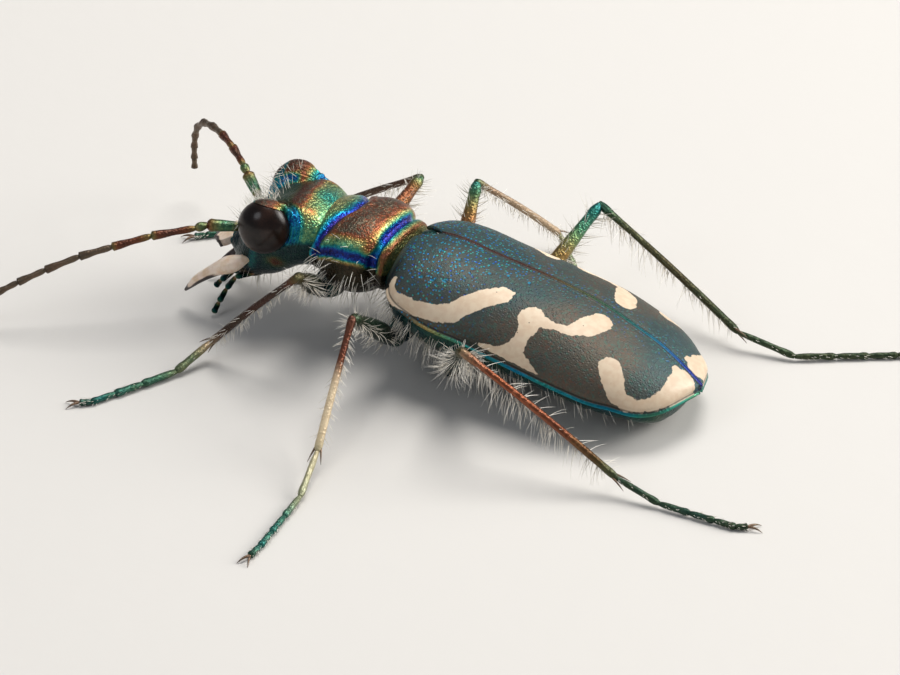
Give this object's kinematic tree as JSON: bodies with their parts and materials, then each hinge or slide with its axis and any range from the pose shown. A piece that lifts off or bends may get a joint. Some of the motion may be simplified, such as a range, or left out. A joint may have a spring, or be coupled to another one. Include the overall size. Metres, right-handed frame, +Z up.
{
  "type": "tiger beetle",
  "caption": "Life-size still tiger beetle standing on six long legs, with big eyes, hooked jaws, curved feelers and cream-marked wing cases.",
  "frame": {"origin": "the middle of the beetle's footprint box, on the floor under it", "axes": "+X towards the head, +Y to the beetle's left, +Z up"},
  "size_m": [0.0244, 0.0178, 0.0041],
  "materials": {
    "wing_case_slate": "satin slate blue-green with cream marks and fine coloured pits",
    "pronotum_copper": "granular copper-brown shield with green, gold and violet-blue edges",
    "head_green": "finely ridged metallic green, blue and bronze",
    "eye_brown": "glossy dark brown with a grey sheen",
    "jaw_cream": "smooth cream with dark brown tips and edges",
    "belly_green_black": "shiny green-black with dense white bristles",
    "leg_bronze": "metallic green, copper and bronze with rows of white bristles",
    "feeler_brown": "dull grey-brown outer segments"
  },
  "bodies": {
    "root": {"head": "head_green", "labrum": "jaw_cream", "prothorax": "pronotum_copper", "thorax": "belly_green_black", "abdomen": "belly_green_black", "eye_left": "eye_brown", "mandible_left": "jaw_cream", "elytron_left": "wing_case_slate", "maxillary_palp_left": "belly_green_black", "labial_palp_left": "belly_green_black", "antenna_left_base": "leg_bronze", "antenna_left_middle": "feeler_brown", "antenna_left_tip": "feeler_brown", "eye_right": "eye_brown", "mandible_right": "jaw_cream", "elytron_right": "wing_case_slate", "maxillary_palp_right": "belly_green_black", "labial_palp_right": "belly_green_black", "antenna_right_base": "leg_bronze", "antenna_right_middle": "feeler_brown", "antenna_right_tip": "feeler_brown", "leg_front_left_femur": "leg_bronze", "leg_front_left_tibia": "leg_bronze", "leg_front_left_foot": "leg_bronze", "leg_front_right_femur": "leg_bronze", "leg_front_right_tibia": "leg_bronze", "leg_front_right_foot": "leg_bronze", "leg_middle_left_femur": "leg_bronze", "leg_middle_left_tibia": "leg_bronze", "leg_middle_left_foot": "leg_bronze", "leg_middle_right_femur": "leg_bronze", "leg_middle_right_tibia": "leg_bronze", "leg_middle_right_foot": "leg_bronze", "leg_hind_left_femur": "leg_bronze", "leg_hind_left_tibia": "leg_bronze", "leg_hind_left_foot": "leg_bronze", "leg_hind_right_femur": "leg_bronze", "leg_hind_right_tibia": "leg_bronze", "leg_hind_right_foot": "leg_bronze"}
  },
  "joints": []
}
